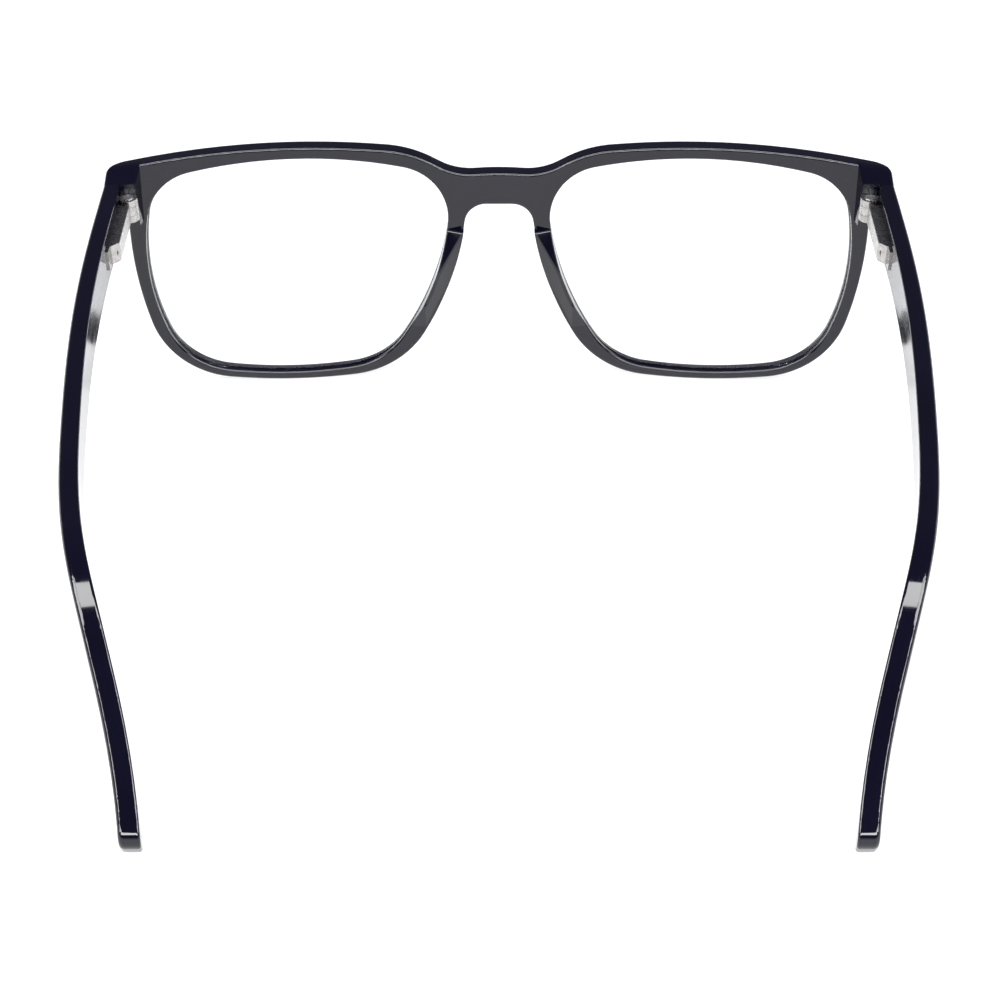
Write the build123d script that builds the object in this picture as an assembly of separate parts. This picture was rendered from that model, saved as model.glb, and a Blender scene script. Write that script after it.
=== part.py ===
from build123d import *
import os
from math import cos, radians, sin, sqrt

# A pair of acetate eyeglasses with spring hinges, in millimetres.
# Row frame: +Z up, the front faces -Y, the temples run back towards +Y, and +X is the wearer's left.
# The glasses stand on their lower rims and temple tips, on Z = 0, with the front upright.
# Hinges and temples are modelled in the temple frame: X as in the row, Y back along the straight
# temple from the butt joint, Z square to it from the temple's top edge. TILT slopes it down.
# Everything is modelled on the +X side and mirrored for the other one.

# ---- driving dimensions ----
FRAME_WIDTH = 140.7          # over the end pieces
FRONT_THICKNESS = 4.0        # acetate sheet of the front
FRONT_RADIUS = 380.0         # outer radius of the front's wrap, about an upright axis
TILT = 7.2                   # slope of the temples against the table, degrees
END_CORNER = 4.0             # plan radius between the front face and the end piece's side

# eye opening: four large circles share one area, as (x, z, radius), and its corners are rounded
EYE_TOP = (37.7, -52.2, 96.7)
EYE_BOTTOM = (37.4, 77.1, 75.4)
EYE_TEMPORAL = (20.2, 27.1, 44.1)
EYE_NASAL = (64.0, 38.8, 55.1)
EYE_CORNERS = {(62, 42): 9.8, (10, 42): 10.2, (14, 4): 13.9, (60, 5): 14.2}   # near (x, z): radius
GROOVE_DEPTH = 0.5
LENS_THICKNESS = 1.8
LENS_SETBACK = 1.2           # from the front face to the lens

# outside of the rim, below the brow
RIM_NASAL_WIDTH = 3.05
RIM_BOTTOM = (36.4, 91.0, 90.85)
RIM_TEMPORAL = (-5.4, 32.6, 72.4)
RIM_CORNERS = {(13, 3): 17.5, (63, 4): 17.0}
RIM_TOP = 36.0               # where the rim runs into the brow

# brow: a large circle, stepped down to the bridge by a ramp
BROW_TOP = (39.5, -133.3, 180.0)
BRIDGE_TOP = (0, 41.2)
RAMP_FOOT = (7.8, 40.75)
RAMP_HEAD = (17.5, 46.0)     # on the ramp's line, above the brow's circle
SHOULDER = (16.0, 45.2)      # near where they cross
BRIDGE_ROUND = 50.0
FOOT_ROUND = 12.0
SHOULDER_ROUND = 21.0
BROW_BOTTOM = 35.0
ARCH_RADIUS = 4.0
LOBE_RADIUS = 1.4

# end piece, from the front back to the butt joint
END_INNER_X = 64.2           # the brow's sheet stops here and the end piece goes on
END_BUTT_X = 64.7            # its inner face at the joint
END_RIDGE_Y = 9.0            # its top slopes down to the temple from here
END_RIDGE_ROUND = 4.0
END_FLAT = 4.94              # its underside is level this far back, then slopes down a little
END_SINK = 1.2
LOBE_RISE = 1.0              # the rim's lobe is sunk this far into the end piece
LOBE_INSET = 2.2             # and stops this far inside the frame's width

# edges, as polished
FRONT_EDGE = 0.8
BACK_EDGE = 0.5
OPENING_EDGE = 0.35

# nose pad: the rim carried backwards, between a top and a bottom, and cut by three planes
PAD_Z = (9.0, 30.2)
PAD_DEPTH = 9.0
PAD_CREST = [(6.7, 6.0, 30.2), (11.9, 6.6, 20.5)]
PAD_TEMPLE_SIDE = (9.7, 4.5, 30.2)     # a point on the cut from the crest to the opening
PAD_NOSE_SIDE = (13.0, 4.2, 12.0)      # a point on the face that rests on the nose
PAD_TAPER = [(11.0, 3.7, 9.0), (16.0, 3.7, 9.0), (11.0, 6.06, 15.0)]
PAD_EDGE = 0.4

# butt joint and temple
HINGE_Y = 12.9               # top edge of the butt joint
HINGE_Z = 42.65
BUTT_GAP = 0.08
TEMPLE_THICKNESS = 3.0
TEMPLE_HEIGHT = 8.5
TEMPLE_WAIST = 6.0           # height before the bend
TIP_HEIGHT = 6.8
TEMPLE_PLAN = [(70.35, 0), (70.2, 25), (68.8, 50), (66.1, 75), (61.8, 100), (55.5, 120), (52.3, 130), (50.4, 141)]
BEND_CORNER = 106.9          # where the two straight lines of the top edge would meet
EARPIECE_DROP = 33.0         # angle between temple and earpiece, degrees
EARPIECE_LENGTH = 38.9       # from that corner to the tip
PLAN_STEPS = 8
BEND_RADIUS = 30.0
TIP_CORNERS = (2.0, 3.0)     # top and bottom radii of the tip
OUTER_EDGE_RADIUS = 0.8
INNER_EDGE_RADIUS = 0.4

# spring hinge, in the temple frame
AXIS = (66.0, 1.0, -4.25)    # hinge screw, at the middle of the barrel
BARREL_RADIUS = 1.65
BARREL_HEIGHT = 4.3
MIDDLE_EYE_HEIGHT = 1.7
EYE_GAP = 0.05               # between the eyes of the barrel
RUNNING_GAP = 0.03           # around the screw and the bush
SWING_GAP = 0.25             # around the barrel
SCREW_RADIUS = 0.7
SCREW_HEAD = (0.95, 0.5)     # radius and height
BUSH_RADIUS = 0.98
LEAF_PLATE = (4.0, 1.0)      # width and thickness of the plate set in the end piece
ROD_X = 66.8
ROD_RADIUS = 0.45
BOX_X = (65.5, 68.1)         # inner and outer faces of the spring housing
BOX_Y = (3.2, 17.2)
BOX_HEIGHT = 3.6
BOX_CHAMFER = 1.3
BOX_BORE = 0.97
BOX_FRONT_WALL = 0.7
TONGUE_LENGTH = 2.0
TONGUE_THICKNESS = 0.35
STOP_Y = (14.6, 15.5)        # ring on the end of the rod
STOP_RADIUS = 0.9
SPRING_WIRE = 0.3
SPRING_TURNS = 9
CORE_THICKNESS = 0.9
CORE_COVER = 1.05            # acetate outside the core
CORE_EDGE = 2.2              # acetate above and below the core
CORE_END = 9.0               # acetate behind the core

HALF_WIDTH = FRAME_WIDTH / 2
LONG = 200.0                 # longer than any sub-part, for cutting solids
temple_frame = Location((0, HINGE_Y, HINGE_Z), (-TILT, 0, 0))


# ---- helpers ----
def disc(circle, grow=0):
    x, z, radius = circle
    return Pos(x, z) * Circle(radius + grow)


def round_corners(sketch, corners):
    """Round the vertex nearest to each (x, z) key by its radius."""
    for (x, z), radius in corners.items():
        corner = min(sketch.vertices(), key=lambda v: (v.X - x) ** 2 + (v.Y - z) ** 2)
        sketch = fillet(corner, radius)
    return sketch


def through_front(sketch):
    """A front view (x, z) as a prism along Y."""
    return extrude(Plane.XZ.offset(LONG / 4) * sketch, amount=-LONG / 2)


def wrapped_sheet(front, thickness):
    """A sheet that follows the wrap, its front face set back by front."""
    outer = FRONT_RADIUS - front
    ring = Circle(outer) - Circle(outer - thickness)
    return Pos(0, FRONT_RADIUS, -LONG / 4) * extrude(ring, amount=LONG)


def block(x, y, z):
    """A box from three (low, high) pairs."""
    size = [high - low for low, high in (x, y, z)]
    return Pos(*[(low + high) / 2 for low, high in (x, y, z)]) * Box(*size)


def upright(radius, low, high, x=AXIS[0], y=AXIS[1]):
    """A cylinder along the temple frame's Z between two heights."""
    return Pos(x, y, (low + high) / 2) * Cylinder(radius, high - low)


def along_rod(radius, start, end):
    """A cylinder along the spring rod."""
    return Pos(ROD_X, (start + end) / 2, AXIS[2]) * Rot(90, 0, 0) * Cylinder(radius, end - start)


def beyond(points):
    """A big box on the far side of the plane through three points, seen from low Y."""
    origin, *others = [Vector(*point) for point in points]
    normal = (others[0] - origin).cross(others[1] - origin)
    if normal.Y < 0:
        normal = normal * -1
    return Plane(origin=origin, z_dir=normal) * Pos(0, 0, LONG / 2) * Box(LONG, LONG, LONG)


def both(shape):
    """A solid of the +X side together with its mirror image."""
    return shape + mirror(shape, Plane.YZ)


def behind_face(point):
    """How far a point lies behind the wrapped front face."""
    return FRONT_RADIUS - sqrt(point.X ** 2 + (point.Y - FRONT_RADIUS) ** 2)


def soften(solid, edges, radii):
    """Round the edges by the first radius that the shape takes."""
    for radius in radii:
        try:
            return fillet(edges, radius)
        except Exception:
            continue
    print("edges left sharp")
    return solid


# ---- front ----
def eye_opening(grow=0):
    """The opening in the rim, or the lens behind it with grow as the depth of its groove."""
    shape = disc(EYE_TOP, grow)
    for circle in (EYE_BOTTOM, EYE_TEMPORAL, EYE_NASAL):
        shape &= disc(circle, grow)
    return round_corners(shape, {near: radius + grow for near, radius in EYE_CORNERS.items()})


def front_outline():
    """The sheet's outline. Its brow runs on past the end pieces, which cut it off."""
    rim = disc(EYE_NASAL, RIM_NASAL_WIDTH) & disc(RIM_BOTTOM) & disc(RIM_TEMPORAL)
    rim = round_corners(rim, RIM_CORNERS) & Pos(HALF_WIDTH, 0) * Rectangle(LONG, 2 * RIM_TOP)
    far, high = HALF_WIDTH + 6, BRIDGE_TOP[1] + 20
    steps = make_face(Polyline((0, BROW_BOTTOM), BRIDGE_TOP, RAMP_FOOT, RAMP_HEAD,
                               (RAMP_HEAD[0], high), (far, high), (far, BROW_BOTTOM), close=True))
    half = (disc(BROW_TOP) & steps) + rim
    outline = round_corners(half + mirror(half, Plane.YZ), {BRIDGE_TOP: BRIDGE_ROUND})
    for sign in (-1, 1):
        corners = ((RAMP_FOOT, FOOT_ROUND), (SHOULDER, SHOULDER_ROUND),
                   ((7, BROW_BOTTOM), ARCH_RADIUS), ((67, BROW_BOTTOM), LOBE_RADIUS))
        outline = round_corners(outline, {(sign * x, z): radius for (x, z), radius in corners})
    return outline


def rounded_sheet():
    """The front's sheet with its long edges rounded, before the end pieces take over."""
    sheet = through_front(front_outline()) & wrapped_sheet(0, FRONT_THICKNESS)
    for depth, radius in ((0, FRONT_EDGE), (FRONT_THICKNESS, BACK_EDGE)):
        sheet = fillet([e for e in sheet.edges() if abs(behind_face(e @ 0.5) - depth) < 0.005
                        and abs((e @ 0.5).X) < HALF_WIDTH + 4], radius)
    high = block((END_INNER_X, LONG), (-LONG, LONG), (BROW_BOTTOM + LOBE_RISE, LONG))
    lobe_end = HALF_WIDTH - LOBE_INSET
    return sheet - both(high) - both(block((lobe_end, LONG), (-LONG, LONG), (-LONG, LONG)))


def end_block():
    """The end piece: the front's wrap turned round a corner and carried back to the butt joint."""
    x, z, radius = BROW_TOP
    rise = sqrt(radius ** 2 - (END_INNER_X - x) ** 2)
    top, slope = z + rise, -(END_INNER_X - x) / rise
    back = FRONT_RADIUS - sqrt((FRONT_RADIUS - FRONT_THICKNESS) ** 2 - END_INNER_X ** 2)
    past = HINGE_Y + 3
    plan = Pos(0, FRONT_RADIUS) * Circle(FRONT_RADIUS) & make_face(Polyline(
        (END_INNER_X, 0), (HALF_WIDTH, 0), (HALF_WIDTH, past),
        (END_BUTT_X, past), (END_BUTT_X, HINGE_Y), (END_INNER_X, back), close=True))
    plan = round_corners(plan, {(HALF_WIDTH, 6.5): END_CORNER})
    body = Pos(0, 0, BROW_BOTTOM - 5) * extrude(plan, amount=20)
    body &= temple_frame * block((0, LONG), (-LONG, 0), (-LONG, LONG))

    def side(at):
        """The side view (y, z) of the end piece at one x."""
        height = top + slope * (at - END_INNER_X)
        fall = (HINGE_Z - height) / (HINGE_Y - END_RIDGE_Y)
        return Plane.YZ.offset(at) * make_face(Polyline(
            (0, height), (END_RIDGE_Y, height), (past, HINGE_Z + fall * (past - HINGE_Y)),
            (past, BROW_BOTTOM - END_SINK), (END_FLAT, BROW_BOTTOM), (0, BROW_BOTTOM), close=True))

    body &= loft([side(END_INNER_X), side(HALF_WIDTH + 1)], ruled=True)
    ridge = [e for e in body.edges() if abs((e @ 0.5).Y - END_RIDGE_Y) < 0.05 and e.length > 4]
    body = fillet(ridge, END_RIDGE_ROUND)

    def outside(e):
        middle = e @ 0.5
        lies_along = abs((e @ 0).X - (e @ 1).X) < 4 or middle.Y < END_RIDGE_Y
        on_side = middle.X > 67 and middle.Y < HINGE_Y - 0.05
        return lies_along and (abs(behind_face(middle)) < 0.01 or on_side) and middle.X > END_INNER_X + 0.1

    def both_ends(e, test):
        return outside(e) and test((e @ 0).Z) and test((e @ 1).Z)

    upper = [e for e in body.edges() if both_ends(e, lambda z: z > HINGE_Z - 0.35)]
    body = fillet(upper, FRONT_EDGE)
    lower = [e for e in body.edges() if both_ends(e, lambda z: z < BROW_BOTTOM + 0.2)
             and (e @ 0.5).Y < HINGE_Y - 1.1]
    body = fillet(lower, FRONT_EDGE)
    inner = [e for e in body.edges() if (e @ 0.5).X < END_BUTT_X + 0.05
             and END_RIDGE_Y + 0.6 < (e @ 0.5).Y < HINGE_Y - 0.1 and (e @ 0.5).Z > HINGE_Z - 0.25]
    return soften(body, inner, (0.5, 0.4, 0.3))


def front_body():
    body = rounded_sheet() + both(end_block())
    body -= both(through_front(eye_opening()))
    wire = eye_opening().faces()[0].outer_wire()

    def on_opening(e):
        middle = e @ 0.5
        depth = behind_face(middle)
        near = wire.distance_to(Vector(abs(middle.X), middle.Z, 0)) < 0.02
        return near and min(abs(depth), abs(depth - FRONT_THICKNESS)) < 0.005

    return fillet([e for e in body.edges() if on_opening(e)], OPENING_EDGE)


def lens_blank():
    return through_front(eye_opening(GROOVE_DEPTH)) & wrapped_sheet(LENS_SETBACK, LENS_THICKNESS)


def nose_pad(front):
    """The pad on the back of the rim beside the nose: its crest runs from the nose to the opening."""
    pad = through_front(front_outline()) - through_front(eye_opening())
    pad &= block((0, 20), (0, PAD_DEPTH), PAD_Z)
    pad -= wrapped_sheet(-1, FRONT_THICKNESS + 0.1)
    pad -= beyond([*PAD_CREST, PAD_TEMPLE_SIDE]) + beyond([*PAD_CREST, PAD_NOSE_SIDE]) + beyond(PAD_TAPER)
    free = [e for e in pad.edges() if (e @ 0.5).Y > FRONT_THICKNESS + 0.9]
    pad = soften(pad, free, (PAD_EDGE, 0.3, 0.2)) - front
    return max(pad.solids(), key=lambda piece: piece.volume)


# ---- spring hinge, in the temple frame ----
def hinge_leaf():
    """Two eyes on necks from a plate that is set in the end piece."""
    x, y, z = AXIS
    half = BARREL_HEIGHT / 2
    inner = MIDDLE_EYE_HEIGHT / 2 + EYE_GAP
    width, thickness = LEAF_PLATE
    plate_y = y - 2 * BARREL_RADIUS - thickness
    leaf = block((x - 1, x - 1 + width), (plate_y, plate_y + thickness), (z - half, z + half))
    for low, high in ((z - half, z - inner), (z + inner, z + half)):
        leaf += upright(BARREL_RADIUS, low, high)
        leaf += block((x - 1, x + 1), (plate_y, y), (low, high))
    leaf -= upright(SCREW_RADIUS, z - LONG, z + LONG)
    return leaf - upright(SCREW_HEAD[0], z + half - SCREW_HEAD[1] + 0.1, z + half + 1)


def hinge_screw():
    """The screw's head sits in the top eye, and its slot runs across it."""
    x, y, z = AXIS
    top = z + BARREL_HEIGHT / 2 + 0.1
    radius, height = SCREW_HEAD
    screw = upright(SCREW_RADIUS, z - BARREL_HEIGHT / 2, top) + upright(radius, top - height, top)
    return screw - block((x - 0.12, x + 0.12), (y - radius, y + radius), (top - 0.2, top + 1))


def hinge_bush():
    z = AXIS[2]
    half = MIDDLE_EYE_HEIGHT / 2
    return upright(BUSH_RADIUS, z - half, z + half) - upright(SCREW_RADIUS + RUNNING_GAP, z - 1, z + 1)


def spring_slider():
    """The middle eye of the barrel on a neck that becomes the spring's rod."""
    x, y, z = AXIS
    half = MIDDLE_EYE_HEIGHT / 2
    neck_end = BOX_Y[0] - RUNNING_GAP
    slider = upright(BARREL_RADIUS, z - half, z + half)
    slider += block((x - 0.4, ROD_X + 0.7), (y, neck_end), (z - half, z + half))
    slider += along_rod(ROD_RADIUS, y + BARREL_RADIUS, STOP_Y[1])
    return slider - upright(BUSH_RADIUS + RUNNING_GAP, z - 1, z + 1)


def spring_stop():
    return along_rod(STOP_RADIUS, *STOP_Y) - along_rod(ROD_RADIUS, *STOP_Y)


def spring_coil():
    """A closed coil round the rod, between the housing's front wall and the stop."""
    start = BOX_Y[0] + BOX_FRONT_WALL + SPRING_WIRE / 2
    length = STOP_Y[0] - SPRING_WIRE / 2 - start
    radius = ROD_RADIUS + SPRING_WIRE
    helix = Helix(pitch=length / SPRING_TURNS, height=length, radius=radius)
    wire = Plane(origin=helix @ 0, z_dir=helix % 0) * Circle(SPRING_WIRE / 2)
    coil = sweep(wire, path=helix, is_frenet=True)
    return Pos(ROD_X, start, AXIS[2]) * Rot(-90, 0, 0) * coil


def spring_housing():
    z = AXIS[2]
    half = BOX_HEIGHT / 2
    box = block(BOX_X, BOX_Y, (z - half, z + half))
    rear = [e for e in box.edges() if abs((e @ 0.5).X - BOX_X[0]) < 0.01 and (e @ 0.5).Y > BOX_Y[1] - 0.01]
    box = chamfer(rear, BOX_CHAMFER)
    long_edges = box.edges().filter_by(Axis.Y).filter_by(lambda e: (e @ 0.5).X < BOX_X[0] + 0.01)
    box = soften(box, long_edges, (0.35, 0.2))
    tongue_x = HALF_WIDTH - TEMPLE_THICKNESS
    box += block((tongue_x - TONGUE_THICKNESS, tongue_x + TONGUE_THICKNESS),
                 (BOX_Y[1] - 1, BOX_Y[1] + TONGUE_LENGTH), (z - half, z + half))
    box -= along_rod(BOX_BORE, BOX_Y[0] + BOX_FRONT_WALL, BOX_Y[1] - 0.8)
    return box - along_rod(ROD_RADIUS + RUNNING_GAP, BOX_Y[0] - 1, BOX_Y[1] - 1)


# ---- temple, in the temple frame ----
def temple_side():
    """Side view (y, z): straight to the bend, then down to the tip, with rounded corners."""
    drop = radians(EARPIECE_DROP)
    along = (cos(drop), -sin(drop))
    tip_top = (BEND_CORNER + EARPIECE_LENGTH * along[0], EARPIECE_LENGTH * along[1])
    tip_low = (tip_top[0] + TIP_HEIGHT * along[1], tip_top[1] - TIP_HEIGHT * along[0])
    reach = EARPIECE_LENGTH - 2
    waist = (tip_low[0] - reach * along[0], tip_low[1] - reach * along[1])
    shape = make_face(Polyline((BUTT_GAP, 0), (BEND_CORNER, 0), tip_top, tip_low, waist,
                               (BUTT_GAP, -TEMPLE_HEIGHT), close=True))
    return round_corners(shape, {(BEND_CORNER, 0): BEND_RADIUS, waist: BEND_RADIUS - TEMPLE_WAIST,
                                 tip_top: TIP_CORNERS[0], tip_low: TIP_CORNERS[1]})


def plan_edge(depth):
    """The temple's outer face seen from above, moved inwards by depth."""
    outer = Spline(*TEMPLE_PLAN, tangents=[(0, 1), (-0.12, 1)])
    steps = [n / PLAN_STEPS for n in range(PLAN_STEPS + 1)]
    inwards = [(outer % t).rotate(Axis.Z, 90) * depth for t in steps]
    points = [outer @ t + move for t, move in zip(steps, inwards)]
    return Spline(*points, tangents=[outer % 0, outer % 1])


def bent_strip(side, outside, inside):
    """A strip between two depths of the temple, cut to a side view (y, z)."""
    outer, inner = plan_edge(outside), plan_edge(inside)
    plan = make_face(outer + Line(outer @ 1, inner @ 1) + inner + Line(inner @ 0, outer @ 0))
    return Pos(0, 0, -LONG / 2) * extrude(plan, amount=LONG) & extrude(Plane.YZ * side, amount=LONG)


def temple_core():
    side = offset(temple_side(), amount=-CORE_EDGE)
    start, end = BOX_Y[1], BEND_CORNER + (EARPIECE_LENGTH - CORE_END) * cos(radians(EARPIECE_DROP))
    side &= Pos((start + end) / 2, 0) * Rectangle(end - start, LONG)
    return bent_strip(side, CORE_COVER, CORE_COVER + CORE_THICKNESS)


def on_guide(edge, guide):
    """Whether an edge follows a plan edge rather than crossing it."""
    middle = edge @ 0.5
    flat = Vector(middle.X, middle.Y, 0)
    return guide.distance_to(flat) < 0.02 and middle.Y > 1 and edge.geom_type != GeomType.LINE


def temple_body():
    body = bent_strip(temple_side(), 0, TEMPLE_THICKNESS)
    for depth, radius in ((0, OUTER_EDGE_RADIUS), (TEMPLE_THICKNESS, INNER_EDGE_RADIUS)):
        guide = plan_edge(depth)
        body = fillet([e for e in body.edges() if on_guide(e, guide)], radius)
    return body


# ---- assembly of the +X side ----
half_barrel = BARREL_HEIGHT / 2 + EYE_GAP
leaf = hinge_leaf()
screw = hinge_screw()
housing = spring_housing()
core = temple_core()
lens = lens_blank()

housing_seat = block((BOX_X[0], BOX_X[1]), BOX_Y, (AXIS[2] - BOX_HEIGHT / 2, AXIS[2] + BOX_HEIGHT / 2))
temple = temple_body() - housing_seat - housing - core
temple -= upright(BARREL_RADIUS + SWING_GAP, -LONG, LONG)
temple -= block((AXIS[0] - 3, ROD_X + 0.9), (AXIS[1], BOX_Y[0]), (AXIS[2] - 1.2, AXIS[2] + 1.2))

barrel_room = upright(BARREL_RADIUS + SWING_GAP, AXIS[2] - half_barrel, AXIS[2] + half_barrel)
front = front_body()
for side in (leaf, screw, barrel_room):
    cutter = temple_frame * side
    front -= cutter
    front -= mirror(cutter, Plane.YZ)
front -= lens
front -= mirror(lens, Plane.YZ)

side_parts = {
    "lens": lens,
    "nose_pad": nose_pad(front),
    "hinge_leaf": temple_frame * leaf,
    "hinge_screw": temple_frame * screw,
    "hinge_bush": temple_frame * hinge_bush(),
    "spring_slider": temple_frame * spring_slider(),
    "spring_stop": temple_frame * spring_stop(),
    "spring_coil": temple_frame * spring_coil(),
    "spring_housing": temple_frame * housing,
    "temple_core": temple_frame * core,
    "temple": temple_frame * temple,
}
parts = {"front_frame": front}
for name, shape in side_parts.items():
    parts["left_" + name] = shape
    parts["right_" + name] = mirror(shape, Plane.YZ)

# the row's origin is under the middle of the whole object
ends = [shape.bounding_box() for shape in parts.values()]
middle_y = (min(box.min.Y for box in ends) + max(box.max.Y for box in ends)) / 2
lowest = min(box.min.Z for box in ends)
to_row = Pos(0, -middle_y, -lowest)

os.makedirs("parts", exist_ok=True)
for name, shape in parts.items():
    export_step(to_row * shape, f"parts/{name}.step")

screw_centre = to_row * temple_frame * Pos(*AXIS)
print("origin moved by", -middle_y, -lowest)
print("left hinge axis", screw_centre.position, (temple_frame * Pos(0, 0, 1)).position - temple_frame.position)
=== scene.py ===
import math

import bpy
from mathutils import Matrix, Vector

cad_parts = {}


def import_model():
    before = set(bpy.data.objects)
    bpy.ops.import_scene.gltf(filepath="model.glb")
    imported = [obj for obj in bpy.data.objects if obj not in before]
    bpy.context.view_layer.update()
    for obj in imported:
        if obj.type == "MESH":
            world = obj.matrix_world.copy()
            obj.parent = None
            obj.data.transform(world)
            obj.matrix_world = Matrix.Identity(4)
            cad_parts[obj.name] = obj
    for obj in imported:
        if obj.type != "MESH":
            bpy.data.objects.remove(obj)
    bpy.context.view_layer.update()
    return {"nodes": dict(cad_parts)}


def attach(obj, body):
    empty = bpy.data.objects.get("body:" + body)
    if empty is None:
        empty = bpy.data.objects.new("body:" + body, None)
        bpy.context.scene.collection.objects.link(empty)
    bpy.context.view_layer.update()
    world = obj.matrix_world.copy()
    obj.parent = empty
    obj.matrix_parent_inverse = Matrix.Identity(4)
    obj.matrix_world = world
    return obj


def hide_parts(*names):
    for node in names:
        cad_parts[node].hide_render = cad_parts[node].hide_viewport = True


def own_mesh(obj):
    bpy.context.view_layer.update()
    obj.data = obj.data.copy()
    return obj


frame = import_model()
nodes = frame["nodes"]
SIDES = ("left_", "right_")


# ---------------------------------------------------------------- materials
def shader(name):
    """A new material with a Principled shader: (material, tree, shader node)."""
    material = bpy.data.materials.new(name)
    material.use_nodes = True
    tree = material.node_tree
    return material, tree, tree.nodes["Principled BSDF"]


def fix(node, **values):
    """Sets sockets by name, with underscores for spaces."""
    for key, value in values.items():
        node.inputs[key.replace("_", " ")].default_value = value


def noise(tree, scale, detail=3.0, roughness=0.5, stretch=(1, 1, 1)):
    """Noise over the piece's own place, in cycles per metre, stretched along an axis."""
    place = tree.nodes.new("ShaderNodeTexCoord")
    mapping = tree.nodes.new("ShaderNodeMapping")
    mapping.inputs["Scale"].default_value = stretch
    pattern = tree.nodes.new("ShaderNodeTexNoise")
    fix(pattern, Scale=scale, Detail=detail, Roughness=roughness)
    tree.links.new(place.outputs["Object"], mapping.inputs["Vector"])
    tree.links.new(mapping.outputs["Vector"], pattern.inputs["Vector"])
    return pattern.outputs["Fac"]


def spread(tree, value, low, high, start=0.3, end=0.7):
    """Maps a pattern from start..end to low..high."""
    node = tree.nodes.new("ShaderNodeMapRange")
    for key, number in (
        ("From Min", start),
        ("From Max", end),
        ("To Min", low),
        ("To Max", high),
    ):
        node.inputs[key].default_value = number
    tree.links.new(value, node.inputs["Value"])
    return node.outputs["Result"]


def blend_colours(tree, value, stops):
    """Colours a pattern by stops of (value, colour)."""
    node = tree.nodes.new("ShaderNodeValToRGB")
    ramp = node.color_ramp
    while len(ramp.elements) < len(stops):
        ramp.elements.new(0.5)
    for element, (place, colour) in zip(ramp.elements, stops):
        element.position = place
        element.color = (*colour, 1)
    tree.links.new(value, node.inputs["Fac"])
    return node.outputs["Color"]


def bumps(tree, target, layers):
    """Adds bump layers: (height socket, strength, distance)."""
    normal = None
    for height, strength, distance in layers:
        node = tree.nodes.new("ShaderNodeBump")
        fix(node, Strength=strength, Distance=distance)
        tree.links.new(height, node.inputs["Height"])
        if normal is not None:
            tree.links.new(normal, node.inputs["Normal"])
        normal = node.outputs["Normal"]
    tree.links.new(normal, target.inputs["Normal"])


def acetate():
    """Polished black acetate: a trace of indigo, buffing haze and fine wheel marks."""
    material, tree, surface = shader("acetate_black")
    cloud = noise(tree, 55, 2)
    colour = blend_colours(
        tree, cloud, [(0.3, (0.0010, 0.0010, 0.0040)), (0.7, (0.0016, 0.0016, 0.0056))]
    )
    tree.links.new(colour, surface.inputs["Base Color"])
    buffing = noise(tree, 420, 4, 0.6, (1, 0.12, 1))
    tree.links.new(spread(tree, buffing, 0.035, 0.085), surface.inputs["Roughness"])
    unevenness = noise(tree, 90, 1)
    wheel_marks = noise(tree, 2600, 2, 0.6, (1, 0.1, 1))
    bumps(tree, surface, [(unevenness, 0.05, 0.0004), (wheel_marks, 0.02, 0.00002)])
    fix(surface, IOR=1.5)
    return material


def lens_glass():
    """Clear resin: nearly colourless, a little uneven, and it lets the light through."""
    material, tree, surface = shader("lens_clear")
    fix(surface, Roughness=0.0, IOR=1.5, Transmission_Weight=1.0)
    tint = blend_colours(
        tree, noise(tree, 40, 1), [(0.3, (0.975, 0.985, 0.99)), (0.7, (0.985, 0.992, 0.996))]
    )
    tree.links.new(tint, surface.inputs["Base Color"])
    bumps(tree, surface, [(noise(tree, 45, 1), 0.01, 0.0002)])
    see_through = tree.nodes.new("ShaderNodeBsdfTransparent")
    fix(see_through, Color=(0.96, 0.97, 0.975, 1))
    path = tree.nodes.new("ShaderNodeLightPath")
    mix = tree.nodes.new("ShaderNodeMixShader")
    tree.links.new(path.outputs["Is Shadow Ray"], mix.inputs["Fac"])
    tree.links.new(surface.outputs["BSDF"], mix.inputs[1])
    tree.links.new(see_through.outputs["BSDF"], mix.inputs[2])
    tree.links.new(mix.outputs["Shader"], tree.nodes["Material Output"].inputs["Surface"])
    return material


def metal(name, dark, light, rough, grain, stretch=(1, 1, 1)):
    """A metal between two colours, with marks of one grain in its gloss and surface."""
    material, tree, surface = shader(name)
    fix(surface, Metallic=1.0)
    cloud = noise(tree, grain * 0.3, 3)
    tree.links.new(
        blend_colours(tree, cloud, [(0.3, dark), (0.7, light)]),
        surface.inputs["Base Color"],
    )
    marks = noise(tree, grain, 4, 0.6, stretch)
    tree.links.new(spread(tree, marks, *rough), surface.inputs["Roughness"])
    bumps(tree, surface, [(marks, 0.05, 0.00003)])
    return material


def nylon():
    material, tree, surface = shader("nylon_natural")
    cloud = noise(tree, 900, 2)
    tree.links.new(
        blend_colours(tree, cloud, [(0.3, (0.62, 0.61, 0.57)), (0.7, (0.7, 0.69, 0.66))]),
        surface.inputs["Base Color"],
    )
    tree.links.new(spread(tree, cloud, 0.4, 0.55), surface.inputs["Roughness"])
    bumps(tree, surface, [(noise(tree, 5000, 2), 0.1, 0.00002)])
    return material


def give(material, names):
    """Puts a material on the nodes of both sides."""
    for name in names:
        for side in SIDES:
            node = nodes[side + name]
            node.data.materials.clear()
            node.data.materials.append(material)


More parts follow.
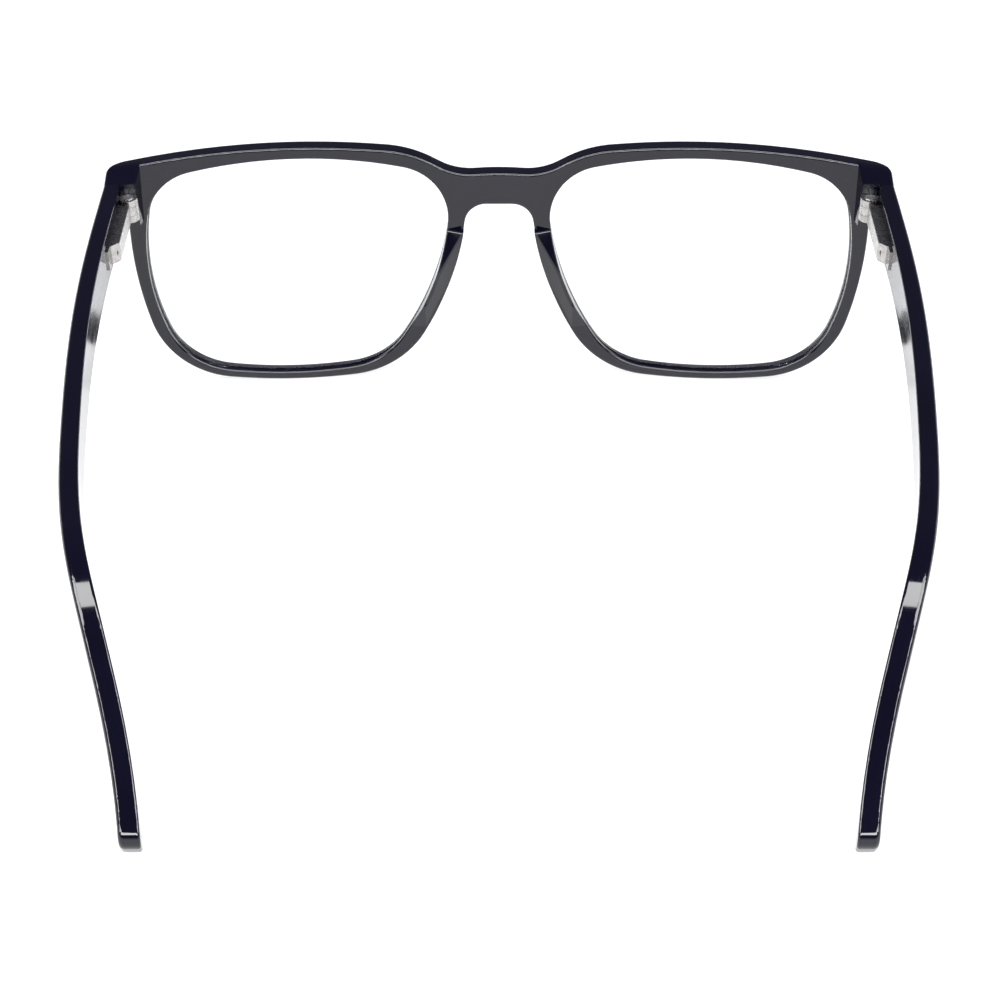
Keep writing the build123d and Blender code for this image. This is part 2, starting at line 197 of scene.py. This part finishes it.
black = acetate()
nodes["front_frame"].data.materials.clear()
nodes["front_frame"].data.materials.append(black)
give(black, ("nose_pad", "temple"))
give(lens_glass(), ("lens",))
give(
    metal("nickel_silver", (0.36, 0.352, 0.34), (0.5, 0.49, 0.475), (0.2, 0.32), 3000),
    ("hinge_leaf", "spring_slider", "spring_housing"),
)
give(
    metal("screw_steel", (0.5, 0.51, 0.52), (0.64, 0.65, 0.66), (0.24, 0.36), 5000),
    ("hinge_screw",),
)
give(
    metal("spring_steel", (0.42, 0.43, 0.46), (0.55, 0.56, 0.58), (0.2, 0.35), 4000),
    ("spring_stop", "spring_coil"),
)
give(
    metal("core_wire", (0.5, 0.5, 0.52), (0.62, 0.62, 0.64), (0.22, 0.38), 3000, (1, 0.05, 1)),
    ("temple_core",),
)
give(nylon(), ("hinge_bush",))


def live_spring(side):
    """A copy of the coil that rides with the slider rod in place of the CAD coil; it keeps its
    length and does not shorten against its stop ring.
    """
    coil = nodes[side + "spring_coil"]
    piece = bpy.data.objects.new(side + "coil_spring", coil.data.copy())
    bpy.context.scene.collection.objects.link(piece)
    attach(piece, side + "slider")
    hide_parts(side + "spring_coil")
    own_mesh(piece)


for side in SIDES:
    live_spring(side)


# ---------------------------------------------------------------- floor
FLOOR_HALF = 3.0
FLOOR_DROP = 0.0001  # below the lowest points, so that nothing shares its plane


def floor():
    """Plain pale paper, bright enough by itself to leave almost no shadow."""
    half = FLOOR_HALF
    mesh = bpy.data.meshes.new("floor")
    mesh.from_pydata(
        [(-half, -half, 0), (half, -half, 0), (half, half, 0), (-half, half, 0)],
        [],
        [(0, 1, 2, 3)],
    )
    piece = bpy.data.objects.new("floor", mesh)
    piece.location.z = -FLOOR_DROP
    bpy.context.scene.collection.objects.link(piece)
    material, tree, surface = shader("floor_paper")
    grain = noise(tree, 700, 3)
    tree.links.new(
        blend_colours(tree, grain, [(0.3, (0.205, 0.205, 0.215)), (0.7, (0.22, 0.22, 0.23))]),
        surface.inputs["Base Color"],
    )
    fix(surface, Roughness=0.9, Specular_IOR_Level=0.2)
    fix(surface, Emission_Color=(1.0, 1.0, 1.0, 1), Emission_Strength=0.85)
    mesh.materials.append(material)


floor()


# ---------------------------------------------------------------- light
def world():
    """Pale around the horizon and dark above it, so that level surfaces look black."""
    studio = bpy.data.worlds.new("studio")
    bpy.context.scene.world = studio
    studio.use_nodes = True
    tree = studio.node_tree
    place = tree.nodes.new("ShaderNodeTexCoord")
    split = tree.nodes.new("ShaderNodeSeparateXYZ")
    tree.links.new(place.outputs["Generated"], split.inputs["Vector"])
    colour = blend_colours(
        tree,
        split.outputs["Z"],
        [
            (0.0, (1.0, 1.0, 1.0)),
            (0.10, (0.95, 0.95, 0.97)),
            (0.22, (0.08, 0.08, 0.10)),
            (1.0, (0.06, 0.06, 0.075)),
        ],
    )
    background = tree.nodes["Background"]
    tree.links.new(colour, background.inputs["Color"])
    background.inputs["Strength"].default_value = 1.0


def softbox(name, place, target, size, watts):
    """A rectangular lamp that faces a point."""
    light = bpy.data.lights.new(name, "AREA")
    light.shape = "RECTANGLE"
    light.size, light.size_y = size
    light.energy = watts
    lamp = bpy.data.objects.new(name, light)
    lamp.location = place
    lamp.rotation_euler = (Vector(target) - Vector(place)).to_track_quat("-Z", "Y").to_euler()
    bpy.context.scene.collection.objects.link(lamp)


world()
# the key light shows as a bright patch at the bends, and the others along polished edges
softbox("key_overhead", (0, 0.125, 1.1), (0, 0.125, 0), (1.4, 0.29), 16)
softbox("fill_left", (1.0, 0.25, 0.9), (0, 0, 0), (0.6, 0.7), 15)
softbox("fill_right", (-1.0, 0.25, 0.9), (0, 0, 0), (0.6, 0.7), 15)
softbox("edge_light", (0, 0.92, 0.77), (0, 0, 0), (1.6, 0.3), 24)


# ---------------------------------------------------------------- camera
CAMERA_PLACE = (0.0, 0.29888, 0.1894)
CAMERA_DOWN = 30.5  # degrees below level
CAMERA_LENS = 77.94  # millimetres, on a sensor of CAMERA_SENSOR
CAMERA_SENSOR = 36
CAMERA_SHIFT = 0.001


def camera():
    """Behind and above the glasses, on their middle plane."""
    lens = bpy.data.cameras.new("camera")
    lens.lens = CAMERA_LENS
    lens.sensor_width = CAMERA_SENSOR
    lens.clip_start = 0.01
    lens.shift_x = CAMERA_SHIFT
    piece = bpy.data.objects.new("camera", lens)
    piece.location = CAMERA_PLACE
    piece.rotation_euler = (math.radians(90 - CAMERA_DOWN), 0, math.pi)
    bpy.context.scene.collection.objects.link(piece)
    bpy.context.scene.camera = piece


camera()
bpy.context.scene.view_settings.view_transform = "Standard"
